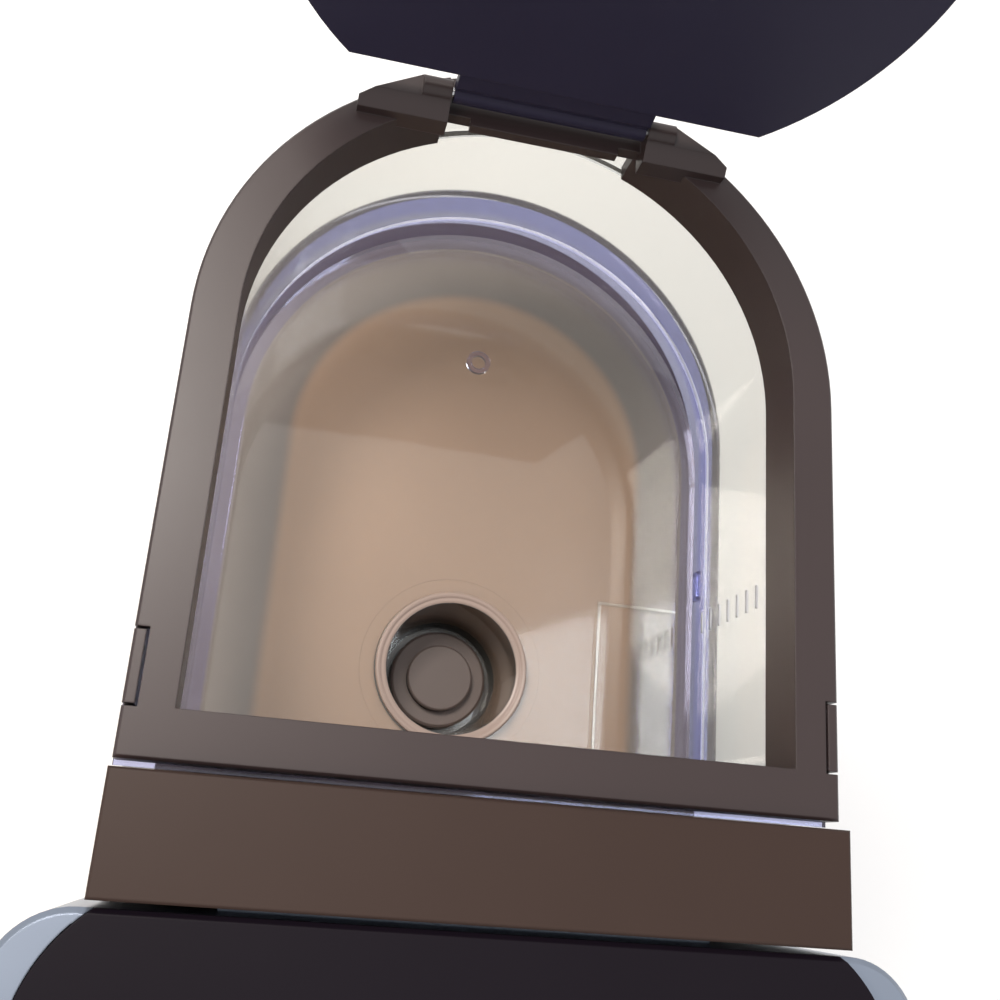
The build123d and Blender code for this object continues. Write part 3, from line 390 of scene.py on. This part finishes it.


# Tank cradle and dock.
# The dark moulded seat that the tank's foot drops into, the tan pad on its deck with a painted
# shadow of the collar darkening its edge, and the well with the dock in it. A low bead rings the
# tank's valve cup above.

def painted_shade_rim(material, painted_shade_colour, arch_place, reach, blur):
    """Paints shade on a pad past a reach from its middle line, along straight sides and round the
    arch: a painted shadow of the collar.
    """
    tree = material.node_tree
    colour = tree.nodes["Principled BSDF"].inputs["Base Color"]
    place = tree.nodes.new("ShaderNodeTexCoord")
    parts = tree.nodes.new("ShaderNodeSeparateXYZ")
    connect(tree, place, "Object", parts, "Vector")
    past_arch = maths(tree, "MAXIMUM", maths(tree, "SUBTRACT", parts.outputs["Y"], arch_place), 0.0)
    flat = tree.nodes.new("ShaderNodeCombineXYZ")
    feed(tree, parts.outputs["X"], flat.inputs["X"])
    feed(tree, past_arch, flat.inputs["Y"])
    away = tree.nodes.new("ShaderNodeVectorMath")
    away.operation = "LENGTH"
    feed(tree, flat.outputs["Vector"], away.inputs[0])
    shadow_edge = add_node(tree, "ShaderNodeMapRange", From_Min=reach - blur, From_Max=reach + blur)
    shadow_edge.interpolation_type = "SMOOTHSTEP"
    connect(tree, away, "Value", shadow_edge, "Value")
    tan_part = colour.links[0].from_socket
    feed(tree, blended_colour(tree, tan_part, painted_shade_colour, shadow_edge.outputs["Result"]), colour)


collar_half = 0.065
rear_arch = collar_high.y - collar_half
deck_tan = moulded_plastic("deck_tan", linear(140, 108, 84), 0.5, depth=0.000001, spread=0.08)
# Painted shade: the pad turns dark past a reach from its middle line, a painted shadow of the collar.
painted_shade_rim(deck_tan, linear(84, 72, 70), rear_arch, 0.0435, 0.0016)
body_plastic = moulded_plastic("body_plastic", linear(48, 35, 30), 0.42, sheen=0.24)
merge_gap = 0.000001


def sunk_copy(node, top_material, side_material, drop):
    """Stands in for a node: the same form, its topmost faces a hair lower, in their own colour."""
    form = bmesh.new()
    form.from_mesh(nodes[node].data)
    bmesh.ops.remove_doubles(form, verts=form.verts, dist=merge_gap)
    top = max(corner.co.z for corner in form.verts)
    for corner in form.verts:
        if corner.co.z > top - drop / 2:
            corner.co.z -= drop
    for face in form.faces:
        face.material_index = 0 if face.calc_center_median().z > top - 3 * drop else 1
    piece = formed_piece(node + "_shown", form, "machine", top_material, side_material)
    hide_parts(node)


deck_drop = 0.00012
sunk_copy("tank_cradle", deck_tan, body_plastic, deck_drop)


def turned(name, body, material, centre, profile):
    """A closed ring turned about an upright axis; profile gives its section as radius and height."""
    steps = 96
    form = bmesh.new()
    rows = []
    for step in range(steps):
        angle = 2 * math.pi * step / steps
        rows.append([
            form.verts.new((
                centre[0] + radius * math.cos(angle), centre[1] + radius * math.sin(angle), height
            ))
            for radius, height in profile
        ])
    for step in range(steps):
        here, there = rows[step], rows[(step + 1) % steps]
        for place in range(len(profile)):
            after = (place + 1) % len(profile)
            form.faces.new((here[place], there[place], there[after], here[after]))
    bmesh.ops.recalc_face_normals(form, faces=form.faces)
    formed_piece(name, form, body, material)


pad_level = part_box("tank_cradle")[1].z
valve_low, valve_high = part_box("valve_body")
cup_centre = ((valve_low.x + valve_high.x) / 2, (valve_low.y + valve_high.y) / 2)
cup_reach = 0.0179
well_reach = 0.0214
lining_level = pad_level - 0.00013
lip_foot = pad_level - 0.0016
neck_level = pad_level - 0.0018
funnel_foot = pad_level - 0.0200
funnel_wall = 0.0014
funnel_taper = 0.0016
turned("well_lining", "machine", deck_tan, cup_centre, [
    (cup_reach, lining_level), (well_reach, lining_level), (well_reach, lip_foot),
    (cup_reach + funnel_wall, neck_level), (cup_reach + funnel_wall - funnel_taper, funnel_foot),
    (cup_reach - funnel_taper, funnel_foot),
])
finish(valve_grey, "dock_nipple")

cup_rim = moulded_plastic("cup_rim", linear(150, 132, 122), 0.3, depth=0.000004, spread=0.05)
tank_floor = 0.0020
rim_level = pad_level + tank_floor
bead_foot = rim_level - 0.0002
turned("cup_bead", "tank", cup_rim, cup_centre, [
    (0.0153, bead_foot), (0.0153, rim_level + 0.0002), (0.0158, rim_level + 0.0004),
    (0.0164, rim_level + 0.0004), (0.0168, rim_level + 0.0007), (0.0173, rim_level + 0.0008),
    (0.0177, rim_level + 0.0006), (0.0178, bead_foot),
])


# Body housings.
# Rear shell, flat spine, strip cover and base: thick dark mouldings with the collar's grain.

finish(body_plastic, "rear_housing", "spine_housing", "strip_cover", "base_housing", "base_plate")
finish(black_rubber, "feet", "cord_gland")
finish(steel, "base_screws")


# Brew head.
# Silver-painted side shell round a black satin deck, with the shelf, holder, needle and spout.

silver_paint = moulded_plastic(
    "silver_paint", linear(132, 141, 156), 0.32, grain=5000.0, depth=0.000008, metallic=0.7
)
head_black = moulded_plastic("head_black", linear(15, 10, 17), 0.4, spread=0.15, sheen=0.12)
finish(silver_paint, "head_housing", "button_bezels", "lid_band")
finish(head_black, "head_deck", "brew_lid", "chamber_deck", "pod_holder")
finish(valve_grey, "spout", "jaw_disc", "jaw_posts", "board_bracket")
finish(steel, "exit_needle", "entry_needle", "jaw_pin")
finish(black_rubber, "jaw_gasket")


# Buttons.
# Four satin keys in silver rings, over a silicone mat and a small board.

key_grey = moulded_plastic("key_grey", linear(150, 152, 160), 0.35)
silicone = moulded_plastic("silicone", linear(190, 192, 198), 0.5)
board_green = moulded_plastic("board_green", linear(34, 92, 58), 0.35)
finish(key_grey, "button_power", "button_small", "button_medium", "button_large")
finish(silicone, "keypad", "suction_hose", "pressure_hose", "brew_hose")
finish(board_green, "key_board", "control_board")


def ring_mark(name, body, material, centre, radius, inner, thick, gap_angle=0.0):
    """A thin printed ring on a key, open at the back by the angle that is given."""
    steps = 40
    form = bmesh.new()
    first = math.pi / 2 + gap_angle / 2
    turn = (2 * math.pi - gap_angle) / steps
    outline = [
        (math.cos(first + turn * step), math.sin(first + turn * step)) for step in range(steps + 1)
    ]

    def row(reach, height):
        """One edge of the ring."""
        return [
            form.verts.new((centre[0] + reach * x, centre[1] + reach * y, height)) for x, y in outline
        ]

    low = [row(inner, centre[2]), row(radius, centre[2])]
    high = [row(inner, centre[2] + thick), row(radius, centre[2] + thick)]
    for step in range(steps):
        after = step + 1
        form.faces.new((high[0][step], high[1][step], high[1][after], high[0][after]))
        form.faces.new((low[0][step], low[0][after], low[1][after], low[1][step]))
        form.faces.new((low[1][step], low[1][after], high[1][after], high[1][step]))
        form.faces.new((low[0][step], high[0][step], high[0][after], low[0][after]))
    if gap_angle:
        for end in (0, steps):
            form.faces.new((low[0][end], low[1][end], high[1][end], high[0][end]))
    bmesh.ops.remove_doubles(form, verts=form.verts, dist=merge_gap)
    bmesh.ops.recalc_face_normals(form, faces=form.faces)
    formed_piece(name, form, body, material)


mark_print = moulded_plastic("mark_print", linear(34, 32, 38), 0.4)
mark_thick = 0.00008
mark_line = 0.0006
key_dish = 0.0003


def key_middle(name):
    """The middle of a key's dished top."""
    low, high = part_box(name)
    return (low.x + high.x) / 2, (low.y + high.y) / 2, high.z - key_dish


for name, radius in (("small", 0.0014), ("medium", 0.0021), ("large", 0.0028)):
    key = "button_" + name
    ring_mark(
        "mark_" + name, key, mark_print, key_middle(key), radius, radius - mark_line, mark_thick
    )
power = key_middle("button_power")
power_radius = 0.0026
power_gap = math.radians(60)
ring_mark(
    "mark_power", "button_power", mark_print, power, power_radius, power_radius - mark_line,
    mark_thick, power_gap,
)
bar_start = (power[0] - mark_line / 2, power[1] + 0.0006, power[2])
bar_end = (power[0] + mark_line / 2, power[1] + 0.0031, power[2] + mark_thick)
moulded_bars("mark_power_bar", "button_power", mark_print, [(bar_start, bar_end)])


# Drip tray and grate.
# A deep black tray with a full-width nose and a slotted steel plate on its rim.

finish(body_plastic, "drip_tray")
finish(steel, "drip_grate")


# Inner works.
# Pump, flow heater and their supports inside the rear housing.

finish(valve_grey, "pump", "heater_stand", "board_clips")
finish(black_rubber, "pump_mounts")
finish(steel, "heater")


# Room, lamps and camera.
# A plain pale floor and an even pale surround. A cool lamp stands high on the right, a warm one
# behind on the left, which gives the left arm its sheen, and a weak warm one low in front.

def stage_floor():
    """A wide pale floor."""
    reach = 6.0
    mesh = bpy.data.meshes.new("floor")
    corners = [(-reach, -reach, 0), (reach, -reach, 0), (reach, reach, 0), (-reach, reach, 0)]
    mesh.from_pydata(corners, [], [(0, 1, 2, 3)])
    floor = bpy.data.objects.new("floor", mesh)
    bpy.context.scene.collection.objects.link(floor)
    material, tree, shader = new_material("floor_pale")
    shader.inputs["Base Color"].default_value = (0.93, 0.93, 0.92, 1.0)
    shader.inputs["Roughness"].default_value = 0.9
    mesh.materials.append(material)


def surround(light, seen):
    """An even world: one strength to light by, and one for what the eye and reflections see."""
    world = bpy.data.worlds.new("surround")
    bpy.context.scene.world = world
    world.use_nodes = True
    tree = world.node_tree
    tree.nodes.clear()
    output = tree.nodes.new("ShaderNodeOutputWorld")
    lit = add_node(tree, "ShaderNodeBackground", Color=(0.93, 0.95, 1.0, 1.0), Strength=light)
    shown = add_node(tree, "ShaderNodeBackground", Color=(1.0, 1.0, 1.0, 1.0), Strength=seen)
    path = tree.nodes.new("ShaderNodeLightPath")
    direct = maths(tree, "MAXIMUM", path.outputs["Is Camera Ray"], path.outputs["Is Glossy Ray"])
    sight_ray = maths(tree, "MAXIMUM", direct, path.outputs["Is Transmission Ray"])
    mix = tree.nodes.new("ShaderNodeMixShader")
    feed(tree, sight_ray, mix.inputs["Fac"])
    feed(tree, lit.outputs["Background"], mix.inputs[1])
    feed(tree, shown.outputs["Background"], mix.inputs[2])
    connect(tree, mix, "Shader", output, "Surface")


def soft_lamp(name, place, aim, size, power, colour, shows):
    """A square area lamp that looks at a point, with or without its mirror image in shiny things."""
    lamp = bpy.data.lights.new(name, "AREA")
    lamp.energy = power
    lamp.size = size
    lamp.color = colour
    holder = bpy.data.objects.new(name, lamp)
    holder.location = place
    holder.rotation_euler = (Vector(aim) - Vector(place)).to_track_quat("-Z", "Y").to_euler()
    holder.visible_glossy = shows
    bpy.context.scene.collection.objects.link(holder)


stage_floor()
surround(light=0.42, seen=1.0)
tank_middle = (0, 0.05, 0.25)
tank_front = (0, 0.02, 0.25)
cool_day = (0.86, 0.91, 1.0)
warm_room = (1.0, 0.93, 0.86)
warm_window = (1.0, 0.88, 0.74)
soft_lamp("lamp_above", (0.55, 0.16, 1.8), tank_middle, 0.5, 8.0, cool_day, shows=False)
soft_lamp("lamp_sheen", (-0.42, 0.46, 1.35), tank_middle, 0.4, 18.0, warm_room, shows=True)
soft_lamp("lamp_window", (-0.36, -0.26, 0.58), tank_front, 0.25, 1.6, warm_window, shows=False)

eye = collar_edge + Vector((-0.04364, -0.01256, 0.19985))
aim_point = collar_edge + Vector((-0.00365, 0.05301, 0.0))
picture_up = Vector((-0.1349, 0.9492, 0.2844))
sight = (aim_point - eye).normalized()
side = sight.cross(picture_up).normalized()
up = side.cross(sight)
camera_data = bpy.data.cameras.new("camera")
camera_data.sensor_width = 36.0
camera_data.lens = 40.99
camera_data.clip_start = 0.005
camera = bpy.data.objects.new("camera", camera_data)
bpy.context.scene.collection.objects.link(camera)
camera.matrix_world = Matrix((
    (side.x, up.x, -sight.x, eye.x),
    (side.y, up.y, -sight.y, eye.y),
    (side.z, up.z, -sight.z, eye.z),
    (0, 0, 0, 1),
))
bpy.context.scene.camera = camera
bpy.context.scene.view_settings.view_transform = "Standard"
